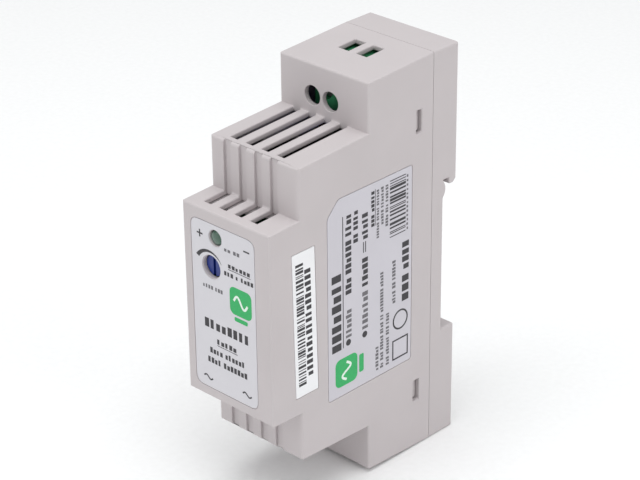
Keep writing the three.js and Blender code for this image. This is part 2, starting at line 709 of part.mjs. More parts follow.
function trimmerRotor() {
  const face = rod(TRIMMER.x, TRIMMER.z, ROTOR.radius, [ROTOR.front, ROTOR.back]);
  const shaft = rod(TRIMMER.x, TRIMMER.z, ROTOR.shaft, [ROTOR.back - BURY, ROTOR.shaftBack], SHAFT_SIDES);
  const slot = box(
    around(TRIMMER.x, ROTOR.slotWidth / 2),
    [ROTOR.front - OVERCUT, ROTOR.front + ROTOR.slotDepth],
    around(TRIMMER.z, ROTOR.radius + OVERCUT)
  );
  return cut(union(face, shaft), slot);
}

// ---------------------------------------------------------------- components on the main board
const CANS = {
  bulk_capacitor: { x: 3.9, z: -19.8, radius: 6.2, height: 22, finish: FINISH.black },
  output_capacitor_large: { x: 2.9, z: 25.6, radius: 6.2, height: 30, finish: FINISH.sleeve },
  output_capacitor_small: { x: 5.9, z: 15.0, radius: 4.0, height: 16, finish: FINISH.sleeve }
};
const CAN = {
  crimpHeight: 2.2, crimpHalf: 0.5, crimpDepth: 0.45, shoulder: 0.8, bevel: 0.3, bevelDrop: 0.2
};

const BLOCKS = {
  film_capacitor: {
    x: [-9.8, -3.6], z: [-26.2, -13.4], height: [0, 11], corner: 0.4, finish: FINISH.yellowBox
  },
  fuse: { x: [2.2, 9.3], z: [-33.8, -26.7], height: [0, 8], corner: 2, finish: FINISH.black },
  bridge_rectifier: {
    x: [-9.3, -3.2], z: [-33.6, -27.2], height: [0, 2.6], corner: 0.3, finish: FINISH.chip
  },
  mosfet: { x: [-5.8, 0.8], z: [-11.6, -9.3], height: [4, 10.1], corner: 0.4, finish: FINISH.chip },
  output_diode: { x: [-5.8, 0.8], z: [12.6, 16.3], height: [4, 13], corner: 0.4, finish: FINISH.chip },
  output_inductor: { x: [-10.0, -3.9], z: [22.6, 28.8], height: [0, 8], corner: 3, finish: FINISH.copper }
};
const BLOCK_CORNER_STEPS = 2;

const DISCS = {
  inrush_thermistor: { faces: "x", x: -0.6, z: -30.3, radius: 3.6, thick: 3.2, finish: FINISH.thermistor },
  y_capacitor: { faces: "z", x: 6.1, z: -11.2, radius: 3.6, thick: 3.0, finish: FINISH.disc }
};
const DISC = { lift: 1.2, edge: 0.8, legHalf: 0.3, legSpacing: 2.5 };

const HEATSINKS = {
  mosfet_heatsink: { x: [-7.0, 2.0], z: [-12.9, -11.7], height: 18 },
  diode_heatsink: { x: [-6.8, 1.2], z: [16.4, 17.6], height: 20 }
};

// An electrolytic can: crimp groove above its seal, rounded shoulder at its top.
function canCapacitor({ x, z, radius, height }) {
  return toSolid(turned([
    [0, 0],
    [radius, 0],
    [radius, CAN.crimpHeight - CAN.crimpHalf],
    [radius - CAN.crimpDepth, CAN.crimpHeight],
    [radius, CAN.crimpHeight + CAN.crimpHalf],
    [radius, height - CAN.shoulder],
    [radius - CAN.bevel, height - CAN.bevelDrop],
    [radius - CAN.shoulder, height],
    [0, height]
  ], x, MOUNT_Y, z));
}

function boardBlock({ x, z, height, corner }) {
  return toSolid(prismY(rectangle(x, z, Array(4).fill(corner)), heights(...height), BLOCK_CORNER_STEPS));
}

// A coated disc standing on edge, its flat faces across x or z, with two leads down to the board.
function disc({ faces, x, z, radius, thick }) {
  const centre = MOUNT_Y - DISC.lift - radius;
  const half = thick / 2;
  const body = new THREE.LatheGeometry([
    [0, -half],
    [radius - DISC.edge, -half],
    [radius, -half / 2],
    [radius, half / 2],
    [radius - DISC.edge, half],
    [0, half]
  ].map(([r, height]) => new THREE.Vector2(r, height)), ROUND_SIDES);
  if (faces === "z") body.rotateX(Math.PI / 2);
  else body.rotateZ(Math.PI / 2);
  body.translate(x, centre, z);
  const legs = [-DISC.legSpacing, DISC.legSpacing].map((offset) => {
    const legX = faces === "z" ? x + offset : x;
    const legZ = faces === "z" ? z : z + offset;
    return box(around(legX, DISC.legHalf), [centre, MOUNT_Y], around(legZ, DISC.legHalf));
  });
  return union(toSolid(body), ...legs);
}

// ---------------------------------------------------------------- transformer
const CORE = { x: [-1.5, 3.9], height: [2.0, 18.4], z: [-8.6, 9.6], leg: 2.9 };
const WINDING = { x: [-6.9, 9.3], gap: 0.3, corner: 1.6, fromFlange: 1.0 };
const BOBBIN = { flange: 0.8, proud: 0.3, flangeGap: 0.1, base: 1.7, post: 1.2 };
const CORE_INSET = CORE.leg + WINDING.gap;
const COIL_HEIGHT = [CORE.height[0] + CORE_INSET, CORE.height[1] - CORE_INSET];
const COIL_Z = [CORE.z[0] + CORE_INSET, CORE.z[1] - CORE_INSET];

function transformerCore() {
  const outer = box(CORE.x, heights(...CORE.height), CORE.z);
  const window = box(
    grown(CORE.x, OVERCUT),
    heights(...grown(CORE.height, -CORE.leg)),
    grown(CORE.z, -CORE.leg)
  );
  return cut(outer, window);
}

function transformerWinding() {
  const section = rectangle(WINDING.x, heights(...COIL_HEIGHT), Array(4).fill(WINDING.corner));
  return toSolid(prismZ(section, grown(COIL_Z, -WINDING.fromFlange)));
}

// Coil former: a flange at each end of the winding, on posts that stand on a pin base.
function transformerBobbin() {
  const x = grown(WINDING.x, BOBBIN.proud);
  const flangeHeights = heights(...grown(COIL_HEIGHT, BOBBIN.flangeGap));
  const postHeights = heights(BOBBIN.base - BURY, COIL_HEIGHT[0] + BURY);
  const pieces = [];
  for (const z0 of [COIL_Z[0], COIL_Z[1] - BOBBIN.flange]) {
    const z = [z0, z0 + BOBBIN.flange];
    pieces.push(box(x, flangeHeights, z));
    for (const x0 of [x[0], x[1] - BOBBIN.post]) {
      pieces.push(box([x0, x0 + BOBBIN.post], postHeights, z));
    }
  }
  return union(box(x, heights(0, BOBBIN.base), CORE.z), ...pieces);
}

// ---------------------------------------------------------------- packages on the control board
const PACKAGES = {
  optocoupler: { lift: 0.4, thick: 3.2, y: [-38.0, -33.4], z: [5.5, 11.0] },
  controller_chip: { lift: 0.2, thick: 1.5, y: [-32.0, -28.2], z: [2.0, 6.0] }
};
const LEAD = { half: 0.25, inside: 0.2, outside: 0.9, places: [0.25, 0.75] };

// A flat package with two leads on each long side, which reach down to the control board.
function dipPackage({ lift, thick, y, z }) {
  const base = CONTROL_FACE + lift;
  const legs = [];
  for (const [edge, outward] of [[z[0], -1], [z[1], 1]]) {
    for (const place of LEAD.places) {
      const centre = y[0] + (y[1] - y[0]) * place;
      const legZ = span(edge - outward * LEAD.inside, edge + outward * LEAD.outside);
      legs.push(box([CONTROL_FACE, base + thick / 2], around(centre, LEAD.half), legZ));
    }
  }
  return union(box([base, base + thick], y, z), ...legs);
}

const SHEET = { x: 9.0, z: 42, y: [-2.7, -2.4] };

// ---------------------------------------------------------------- assembly
addPiece("front_case", frontCase(), FINISH.housing);
addPiece("rear_cover", rearCover(), FINISH.housing);
addPiece("din_latch", latch(), FINISH.latch);
addPiece("latch_spring", latchSpring(), FINISH.steel);
addPiece("front_label", frontLabel(), FINISH.film);
addPiece("rating_label", sideLabel(ratingShape(0)), FINISH.film);
addPiece("serial_label", sideLabel(serialShape(0)), FINISH.paper);

const ENDS = { dc: 1, ac: -1 };
for (const [supply, end] of Object.entries(ENDS)) {
  addPiece(`terminal_block_${supply}`, terminalBlock(end), FINISH.terminal);
  poleCentres().forEach((x, i) => {
    const pole = `${supply}_${i + 1}`;
    addPiece(`terminal_screw_${pole}`, terminalScrew(x, end), FINISH.nickel);
    addPiece(`clamp_cage_${pole}`, clampCage(x, end), FINISH.nickel);
    addPiece(`contact_bar_${pole}`, contactBar(x, end), FINISH.nickel);
  });
}

addPiece("main_board", mainBoard(), FINISH.board);
addPiece("control_board", box(CONTROL_BOARD.x, CONTROL_BOARD.y, CONTROL_BOARD.z), FINISH.board);
addPiece("status_led", statusLed(), FINISH.led);
addPiece("trimmer_body", trimmerBody(), FINISH.trimmer);
addPiece("trimmer_rotor", trimmerRotor(), FINISH.trimmer);

for (const [name, can] of Object.entries(CANS)) {
  addPiece(name, canCapacitor(can), can.finish);
}
for (const [name, block] of Object.entries(BLOCKS)) {
  addPiece(name, boardBlock(block), block.finish);
}
for (const [name, shape] of Object.entries(DISCS)) {
  addPiece(name, disc(shape), shape.finish);
}
for (const [name, { x, z, height }] of Object.entries(HEATSINKS)) {
  addPiece(name, box(x, heights(0, height), z), FINISH.alloy);
}
for (const [name, chip] of Object.entries(PACKAGES)) {
  addPiece(name, dipPackage(chip), FINISH.chip);
}

addPiece("transformer_core", transformerCore(), FINISH.ferrite);
addPiece("transformer_winding", transformerWinding(), FINISH.tape);
addPiece("transformer_bobbin", transformerBobbin(), FINISH.black);
addPiece("insulation_sheet", box([-SHEET.x, SHEET.x], SHEET.y, [-SHEET.z, SHEET.z]), FINISH.sheet);

export default model;
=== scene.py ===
import json
import math
import random

import bmesh
import bpy
from mathutils import Matrix, Vector


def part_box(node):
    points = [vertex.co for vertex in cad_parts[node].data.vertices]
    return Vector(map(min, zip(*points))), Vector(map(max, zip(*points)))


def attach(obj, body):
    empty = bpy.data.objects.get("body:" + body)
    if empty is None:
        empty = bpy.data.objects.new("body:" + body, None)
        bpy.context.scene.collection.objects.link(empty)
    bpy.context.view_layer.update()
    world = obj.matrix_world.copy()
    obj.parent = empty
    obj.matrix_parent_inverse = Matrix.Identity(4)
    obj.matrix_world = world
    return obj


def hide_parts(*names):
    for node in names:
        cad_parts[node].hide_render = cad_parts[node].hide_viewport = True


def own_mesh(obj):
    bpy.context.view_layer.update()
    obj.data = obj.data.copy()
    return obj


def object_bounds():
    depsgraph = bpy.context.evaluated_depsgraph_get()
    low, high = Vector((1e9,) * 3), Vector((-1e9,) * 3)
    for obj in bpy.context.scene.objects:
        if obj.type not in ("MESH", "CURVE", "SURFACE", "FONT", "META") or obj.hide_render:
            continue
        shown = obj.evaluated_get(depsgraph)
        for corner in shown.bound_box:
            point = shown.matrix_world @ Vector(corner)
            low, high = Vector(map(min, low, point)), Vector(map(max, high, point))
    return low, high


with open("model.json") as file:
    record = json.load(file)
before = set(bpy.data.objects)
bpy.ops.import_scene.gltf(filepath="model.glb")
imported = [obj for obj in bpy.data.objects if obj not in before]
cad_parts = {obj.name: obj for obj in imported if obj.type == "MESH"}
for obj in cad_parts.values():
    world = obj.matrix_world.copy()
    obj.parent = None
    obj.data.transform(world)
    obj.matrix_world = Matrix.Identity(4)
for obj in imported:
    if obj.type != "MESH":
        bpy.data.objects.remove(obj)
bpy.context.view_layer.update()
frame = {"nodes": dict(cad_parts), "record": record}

MM = 0.001
NODES = frame["nodes"]
BODIES = frame["record"]["behaviour"]["bodies"]
BODY_OF = {node: body for body, members in BODIES.items() for node in members}
SLOT_OF = {part["node"]: part["material_slot"] for part in frame["record"]["subparts"]}
HOUSING_MIDDLE = sum(corner[2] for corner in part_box("front_case")) / 2


# ---------------------------------------------------------------- shader building
class Shader:
    """A procedural material: its nodes read object coordinates, which are metres in the part's frame."""

    def __init__(self, name, **sockets):
        self.material = bpy.data.materials.new(name)
        self.material.use_nodes = True
        self.tree = self.material.node_tree
        self.surface = self.tree.nodes["Principled BSDF"]
        for socket, value in sockets.items():
            self.surface.inputs[socket.replace("_", " ")].default_value = value
        self.place = self.node("ShaderNodeTexCoord").outputs["Object"]

    def node(self, kind, **settings):
        node = self.tree.nodes.new(kind)
        for key, value in settings.items():
            setattr(node, key, value)
        return node

    def link(self, source, target):
        self.tree.links.new(source, target)

    def stretched(self, scale):
        mapping = self.node("ShaderNodeMapping")
        mapping.inputs["Scale"].default_value = scale
        self.link(self.place, mapping.inputs["Vector"])
        return mapping.outputs["Vector"]

    def noise(self, size, detail=3.0, roughness=0.5, stretch=None):
        """Cloudy noise whose features are about size metres across."""
        node = self.node("ShaderNodeTexNoise")
        node.inputs["Scale"].default_value = 1 / size
        node.inputs["Detail"].default_value = detail
        node.inputs["Roughness"].default_value = roughness
        self.link(self.stretched(stretch) if stretch else self.place, node.inputs["Vector"])
        return node.outputs["Fac"]

    def cells(self, size):
        node = self.node("ShaderNodeTexVoronoi")
        node.inputs["Scale"].default_value = 1 / size
        self.link(self.place, node.inputs["Vector"])
        return node.outputs["Distance"]

    def bands(self, size, direction, distortion=0.0):
        node = self.node("ShaderNodeTexWave", wave_type="BANDS", bands_direction=direction)
        node.inputs["Scale"].default_value = 1 / size / 20 * math.pi
        node.inputs["Distortion"].default_value = distortion
        self.link(self.place, node.inputs["Vector"])
        return node.outputs["Fac"]

    def ramp(self, factor, stops):
        node = self.node("ShaderNodeValToRGB")
        elements = node.color_ramp.elements
        while len(elements) < len(stops):
            elements.new(0.5)
        for element, (position, colour) in zip(elements, stops):
            element.position = position
            element.color = (*colour, 1)
        self.link(factor, node.inputs["Fac"])
        return node.outputs["Color"]

    def mixed(self, factor, a, b, blend="MIX"):
        node = self.node("ShaderNodeMix", data_type="RGBA", blend_type=blend)
        for value, socket in ((factor, node.inputs[0]), (a, node.inputs[6]), (b, node.inputs[7])):
            if isinstance(value, bpy.types.NodeSocket):
                self.link(value, socket)
            else:
                socket.default_value = value
        return node.outputs[2]

    def ranged(self, factor, low, high):
        node = self.node("ShaderNodeMapRange")
        node.inputs["To Min"].default_value = low
        node.inputs["To Max"].default_value = high
        self.link(factor, node.inputs["Value"])
        return node.outputs["Result"]

    def colour(self, socket):
        self.link(socket, self.surface.inputs["Base Color"])

    def roughness(self, factor, low, high):
        self.link(self.ranged(factor, low, high), self.surface.inputs["Roughness"])

    def bump(self, *layers):
        """Each layer is (height socket, depth in metres, strength)."""
        normal = None
        for height, depth, strength in layers:
            node = self.node("ShaderNodeBump")
            node.inputs["Distance"].default_value = depth
            node.inputs["Strength"].default_value = strength
            self.link(height, node.inputs["Height"])
            if normal is not None:
                self.link(normal, node.inputs["Normal"])
            normal = node.outputs["Normal"]
        self.link(normal, self.surface.inputs["Normal"])


def linear(red, green, blue):
    """A colour given as 0-255 screen values, as the linear values that shaders take."""
    def one(value):
        share = value / 255
        return share / 12.92 if share <= 0.04045 else ((share + 0.055) / 1.055) ** 2.4
    return one(red), one(green), one(blue)


def shaded(colour, share):
    return tuple(min(1.0, channel * share) for channel in colour)


def moulded(name, colour, grain, grain_depth, rough, variation=0.03, coat=0.0, specular=0.5):
    """Moulded plastic: a mottled colour, a grained skin and faint flow lines."""
    shader = Shader(name, Coat_Weight=coat, Coat_Roughness=0.15, Specular_IOR_Level=specular)
    cloud = shader.noise(9 * MM, detail=4)
    stops = [(0.3, shaded(colour, 1 - variation)), (0.7, shaded(colour, 1 + variation))]
    shader.colour(shader.ramp(cloud, stops))
    fine = shader.noise(grain, detail=5, roughness=0.65)
    shader.roughness(fine, rough - 0.06, rough + 0.06)
    flow = shader.noise(14 * MM, detail=2, stretch=(1, 0.35, 1))
    shader.bump((flow, 0.25 * MM, 0.05), (fine, grain_depth, 0.6))
    return shader.material


def housing_plastic():
    """Light warm grey plastic with a spark-eroded skin: fine pits over a faint mottle."""
    base = linear(196, 189, 190)
    shader = Shader("housing_plastic", Specular_IOR_Level=0.4)
    cloud = shader.noise(16 * MM, detail=4, roughness=0.55)
    tone = shader.ramp(cloud, [(0.3, shaded(base, 0.975)), (0.7, shaded(base, 1.02))])
    pits = shader.cells(0.32 * MM)
    skin = shader.noise(0.22 * MM, detail=4, roughness=0.7)
    freckled = shader.mixed(shader.ranged(skin, 0.0, 0.10), tone, (*shaded(base, 0.72), 1))
    shader.colour(freckled)
    shader.roughness(skin, 0.52, 0.66)
    flow = shader.noise(20 * MM, detail=2, stretch=(1, 0.4, 1))
    shader.bump((flow, 0.3 * MM, 0.05), (pits, 0.02 * MM, 0.35), (skin, 0.03 * MM, 0.35))
    return shader.material


def label_film(name, colour, rough):
    """Printed polyester film: a satin face with a hair-fine vertical grain and slight ripples."""
    shader = Shader(name, Specular_IOR_Level=0.5, Coat_Weight=0.15, Coat_Roughness=0.25)
    grain = shader.noise(0.25 * MM, detail=3, stretch=(1, 1, 0.12))
    cloud = shader.noise(11 * MM, detail=3)
    tone = shader.ramp(cloud, [(0.3, shaded(colour, 0.98)), (0.7, shaded(colour, 1.02))])
    shader.colour(shader.mixed(shader.ranged(grain, 0.0, 0.12), tone, (*shaded(colour, 0.88), 1)))
    shader.roughness(grain, rough - 0.05, rough + 0.08)
    shader.bump((cloud, 0.08 * MM, 0.06), (grain, 0.01 * MM, 0.2))
    return shader.material


def ink(name, colour):
    """Screen-printed ink with slightly uneven cover."""
    shader = Shader(name, Specular_IOR_Level=0.4)
    cover = shader.noise(0.3 * MM, detail=4, roughness=0.6)
    shader.colour(shader.ramp(cover, [(0.3, shaded(colour, 0.9)), (0.75, shaded(colour, 1.15))]))
    shader.roughness(cover, 0.42, 0.6)
    shader.bump((cover, 0.01 * MM, 0.3))
    return shader.material


def metal(name, colour, rough, grain=(1, 1, 14), grain_size=0.25 * MM, mottle=0.06):
    """Plated or rolled metal with fine drawn lines and dull patches."""
    shader = Shader(name, Metallic=1.0)
    cloud = shader.noise(1.6 * MM, detail=5, roughness=0.6)
    shader.colour(shader.ramp(cloud, [(0.3, shaded(colour, 1 - mottle)), (0.7, shaded(colour, 1 + mottle))]))
    lines = shader.noise(grain_size, detail=4, stretch=grain)
    shader.roughness(shader.noise(0.8 * MM, detail=4), rough - 0.08, rough + 0.12)
    shader.bump((lines, 0.01 * MM, 0.35))
    return shader.material


def board_laminate():
    """Glass-epoxy board under green mask: a faint cloth weave and copper areas that show through."""
    mask = linear(38, 96, 54)
    shader = Shader("board_laminate", Coat_Weight=0.3, Coat_Roughness=0.2)
    weave = shader.bands(0.6 * MM, "X")
    weft = shader.bands(0.6 * MM, "Z")
    copper = shader.ramp(shader.cells(6 * MM), [(0.42, shaded(mask, 1.3)), (0.46, shaded(mask, 0.85))])
    cloth = shader.mixed(shader.ranged(weave, 0.0, 0.12), copper, (*shaded(mask, 0.6), 1))
    shader.colour(shader.mixed(shader.ranged(weft, 0.0, 0.12), cloth, (*shaded(mask, 0.6), 1)))
    shader.roughness(weave, 0.35, 0.5)
    shader.bump((weave, 0.01 * MM, 0.3), (weft, 0.01 * MM, 0.3))
    return shader.material


def wound(name, colour, gap_shade_colour, pitch, direction, rough, metallic=0.0):
    """A layer of wire or tape laid side by side, with painted shade in the gap between turns."""
    shader = Shader(name, Metallic=metallic, Coat_Weight=0.4, Coat_Roughness=0.12)
    turns = shader.bands(pitch, direction, distortion=0.3)
    cloud = shader.noise(2 * MM, detail=3)
    tone = shader.ramp(cloud, [(0.3, shaded(colour, 0.93)), (0.7, shaded(colour, 1.07))])
    # painted shade: a dark band at each turn stands for the shade that falls in the gap between turns
    painted_gap_shade = shader.ramp(turns, [(0.0, (1, 1, 1)), (0.18, (0, 0, 0))])
    shader.colour(shader.mixed(painted_gap_shade, tone, (*gap_shade_colour, 1)))
    shader.roughness(cloud, rough - 0.05, rough + 0.08)
    shader.bump((turns, 0.06 * MM, 0.5))
    return shader.material


def smoked_epoxy(name, colour):
    """Tinted clear epoxy with a cloudy tone and a glossy skin."""
    shader = Shader(name, IOR=1.53, Coat_Weight=0.6, Coat_Roughness=0.05, Specular_IOR_Level=0.5)
    cloud = shader.noise(1.2 * MM, detail=3)
    shader.colour(shader.ramp(cloud, [(0.3, shaded(colour, 0.75)), (0.7, shaded(colour, 1.3))]))
    shader.roughness(cloud, 0.12, 0.24)
    shader.bump((cloud, 0.04 * MM, 0.15))
    return shader.material


def slot_materials():
    """One procedural material for each of the record's material slots."""
    black = linear(30, 30, 32)
    return {
        "housing_plastic": housing_plastic(),
        "latch_plastic": moulded("latch_plastic", linear(196, 192, 190), 0.3 * MM, 0.02 * MM, 0.5),
        "label_film": label_film("label_film", linear(200, 197, 204), 0.4),
        "label_paper": label_film("label_paper", linear(238, 238, 240), 0.55),
        "spring_steel": metal("spring_steel", linear(188, 190, 194), 0.28),
        "nickel_plate": metal("nickel_plate", linear(182, 182, 184), 0.3),
        "board_laminate": board_laminate(),
        "terminal_green": moulded(
            "terminal_green", linear(62, 152, 104), 0.4 * MM, 0.015 * MM, 0.3, coat=0.3
        ),
        "led_epoxy": smoked_epoxy("led_epoxy", linear(44, 82, 64)),
        "trimmer_blue": moulded("trimmer_blue", linear(16, 44, 125), 0.3 * MM, 0.01 * MM, 0.35, coat=0.1),
        "ferrite": moulded("ferrite", linear(52, 52, 56), 0.25 * MM, 0.03 * MM, 0.55, variation=0.1),
        # the second colour given to wound is painted shade for the gap between turns
        "yellow_tape": wound("yellow_tape", linear(232, 196, 44), linear(150, 118, 20), 5 * MM, "Z", 0.3),
        "black_moulding": moulded("black_moulding", black, 0.3 * MM, 0.02 * MM, 0.45, variation=0.12),
        "violet_sleeve": moulded("violet_sleeve", linear(48, 46, 132), 0.6 * MM, 0.01 * MM, 0.3, coat=0.3),
        "black_sleeve": moulded("black_sleeve", black, 0.6 * MM, 0.01 * MM, 0.3, variation=0.1, coat=0.3),
        "yellow_box": moulded("yellow_box", linear(222, 182, 44), 0.4 * MM, 0.015 * MM, 0.4),
        # the second colour given to wound is painted shade for the gap between turns
        "winding_copper": wound(
            "winding_copper", linear(196, 116, 62), linear(70, 34, 18), 0.5 * MM, "Y", 0.28, 0.8
        ),
        "blue_coating": moulded(
            "blue_coating", linear(44, 96, 182), 0.5 * MM, 0.03 * MM, 0.5, variation=0.08
        ),
        "green_coating": moulded(
            "green_coating", linear(58, 74, 50), 0.5 * MM, 0.03 * MM, 0.55, variation=0.08
        ),
        "sheet_aluminium": metal("sheet_aluminium", linear(196, 198, 200), 0.34, grain=(14, 1, 1)),
        "insulating_film": moulded("insulating_film", linear(226, 223, 206), 0.8 * MM, 0.01 * MM, 0.35),
    }


MATERIALS = slot_materials()
# painted light: a lighter copy of the label_film finish, used only on the front label so that its face reads
# brighter
FRONT_FILM_LIT_COPY = label_film("front_film_lit_copy", linear(208, 206, 211), 0.35)
INK_DARK = ink("ink_dark", linear(52, 50, 54))
INK_GREY = ink("ink_grey", linear(104, 102, 106))
INK_GREEN = ink("ink_green", linear(46, 170, 96))
INK_WHITE = ink("ink_white", linear(222, 236, 226))


# ---------------------------------------------------------------- pieces from CAD nodes
EDGE_ANGLE = math.radians(35)
MERGE_ANGLE = math.radians(0.4)
LOCAL_SHARE = 0.25
BEVEL_SEGMENTS = 3


def new_piece(name, bm, body, slot, *materials):
    """A mesh object from bm that rides on a body and takes the given materials. The slot argument is not
    used.
    """
    mesh = bpy.data.meshes.new(name)
    bm.to_mesh(mesh)
    bm.free()
    piece = bpy.data.objects.new(name, mesh)
    bpy.context.scene.collection.objects.link(piece)
    for material in materials:
        mesh.materials.append(material)
    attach(piece, body)
    return piece


def smooth(piece):
    for polygon in piece.data.polygons:
        polygon.use_smooth = True


def refined(node, width):
    """The node's shape with its flat faces whole, its sharp edges rounded and its arcs shaded smooth.

    An edge is rounded by less than width where the shape beside it is small."""
    bm = bmesh.new()
    bm.from_mesh(NODES[node].data)
    bmesh.ops.remove_doubles(bm, verts=bm.verts, dist=1e-7)
    bmesh.ops.dissolve_limit(bm, angle_limit=MERGE_ANGLE, verts=bm.verts, edges=bm.edges)
    weights = bm.edges.layers.float.new("bevel_weight_edge")
    for edge in bm.edges:
        if len(edge.link_faces) != 2 or edge.calc_face_angle() < EDGE_ANGLE:
            continue
        nearby = [other.calc_length() for vert in edge.verts for other in vert.link_edges]
        edge[weights] = min(1.0, LOCAL_SHARE * min(nearby) / width)
    # the front label takes the lighter, painted-light copy of its film
    material = FRONT_FILM_LIT_COPY if node == "front_label" else MATERIALS[SLOT_OF[node]]
    piece = new_piece(f"{node}_finished", bm, BODY_OF[node], SLOT_OF[node], material)
    smooth(piece)
    bevel = piece.modifiers.new("rounded_edges", "BEVEL")
    bevel.limit_method = "WEIGHT"
    bevel.width = width
    bevel.segments = BEVEL_SEGMENTS
    bevel.use_clamp_overlap = False
    normals = piece.modifiers.new("flat_faces", "WEIGHTED_NORMAL")
    normals.weight = 90
    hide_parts(node)
    return piece


# Rounding in metres for each slot's pieces; labels keep a crisp cut edge.
ROUNDING = {
    "housing_plastic": 0.5 * MM,
    "latch_plastic": 0.2 * MM,
    "label_film": 0.04 * MM,
    "label_paper": 0.03 * MM,
    "nickel_plate": 0.1 * MM,
    "sheet_aluminium": 0.1 * MM,
    "board_laminate": 0.06 * MM,
    "led_epoxy": 0.08 * MM,
    "insulating_film": 0.05 * MM,
}
DEFAULT_ROUNDING = 0.15 * MM


def finish_nodes():
    for node in NODES:
        if node != "latch_spring":
            refined(node, ROUNDING.get(SLOT_OF[node], DEFAULT_ROUNDING))


# ---------------------------------------------------------------- latch spring
SPRING_SECTION = 12
SPRING_STEPS = 28


def spring_mesh(radius, wire, turns, centre, bottom, top):
    """A coil of round wire along Z whose first and last turns lie flat."""
    bm = bmesh.new()
    count = turns * SPRING_STEPS
    rise = top - bottom
    rings = []
    for i in range(count + 1):
        turn = i / SPRING_STEPS
        share = min(1.0, max(0.0, (turn - 0.75) / (turns - 1.5)))
        settle = 2 * wire * min(turn, 0.75, turns - turn) / 0.75
        eased = bottom + share * (rise - 2 * wire)
        height = eased + (settle if turn < turns / 2 else 2 * wire - settle)
        angle = 2 * math.pi * turn
        outward = Vector((math.cos(angle), math.sin(angle), 0))
        middle = Vector((centre.x, centre.y, height)) + radius * outward
        ring = []
        for k in range(SPRING_SECTION):
            around = 2 * math.pi * k / SPRING_SECTION
            offset = outward * math.cos(around) + Vector((0, 0, 1)) * math.sin(around)
            ring.append(bm.verts.new(middle + wire * offset))
        rings.append(ring)
    for a, b in zip(rings, rings[1:]):
        for k in range(SPRING_SECTION):
            j = (k + 1) % SPRING_SECTION
            bm.faces.new((a[k], b[k], b[j], a[j]))
    bm.faces.new(rings[0])
    bm.faces.new(reversed(rings[-1]))
    bmesh.ops.recalc_face_normals(bm, faces=bm.faces)
    return bm


def latch_spring():
    low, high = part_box("latch_spring")
    wire = 0.25 * MM
    radius = (high[0] - low[0]) / 2 - wire
    centre = Vector(((low[0] + high[0]) / 2, (low[1] + high[1]) / 2, 0))
    bm = spring_mesh(radius, wire, 7, centre, low[2] + wire, high[2] - wire)
    piece = new_piece("latch_spring_coil", bm, "housing", "spring_steel", MATERIALS["spring_steel"])
    smooth(piece)
    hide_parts("latch_spring")
    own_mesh(piece)
    return piece


# ---------------------------------------------------------------- printing on the labels
INK_PROUD = 0.02 * MM
INK_SUNK = 0.01 * MM
ARC_POINTS = 6
WAVE_POINTS = 24


class Sheet:
    """A label's face. Points on it are millimetres along right and up from the frame's origin line
    and the housing's middle height; a lean shifts them along right as they go up."""

    def __init__(self, node, right, out, lean=0.0):
        low, high = (Vector(corner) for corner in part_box(node))
        self.right, self.out = Vector(right), Vector(out)
        self.up = Vector((0, 0, 1)) - lean * self.right
        outer = low if min(self.out) < 0 else high
        self.origin = Vector(abs(axis) * outer[k] for k, axis in enumerate(self.out))
        self.origin.z = HOUSING_MIDDLE

    def point(self, u, v, height):
        return self.origin + u * MM * self.right + v * MM * self.up + height * self.out


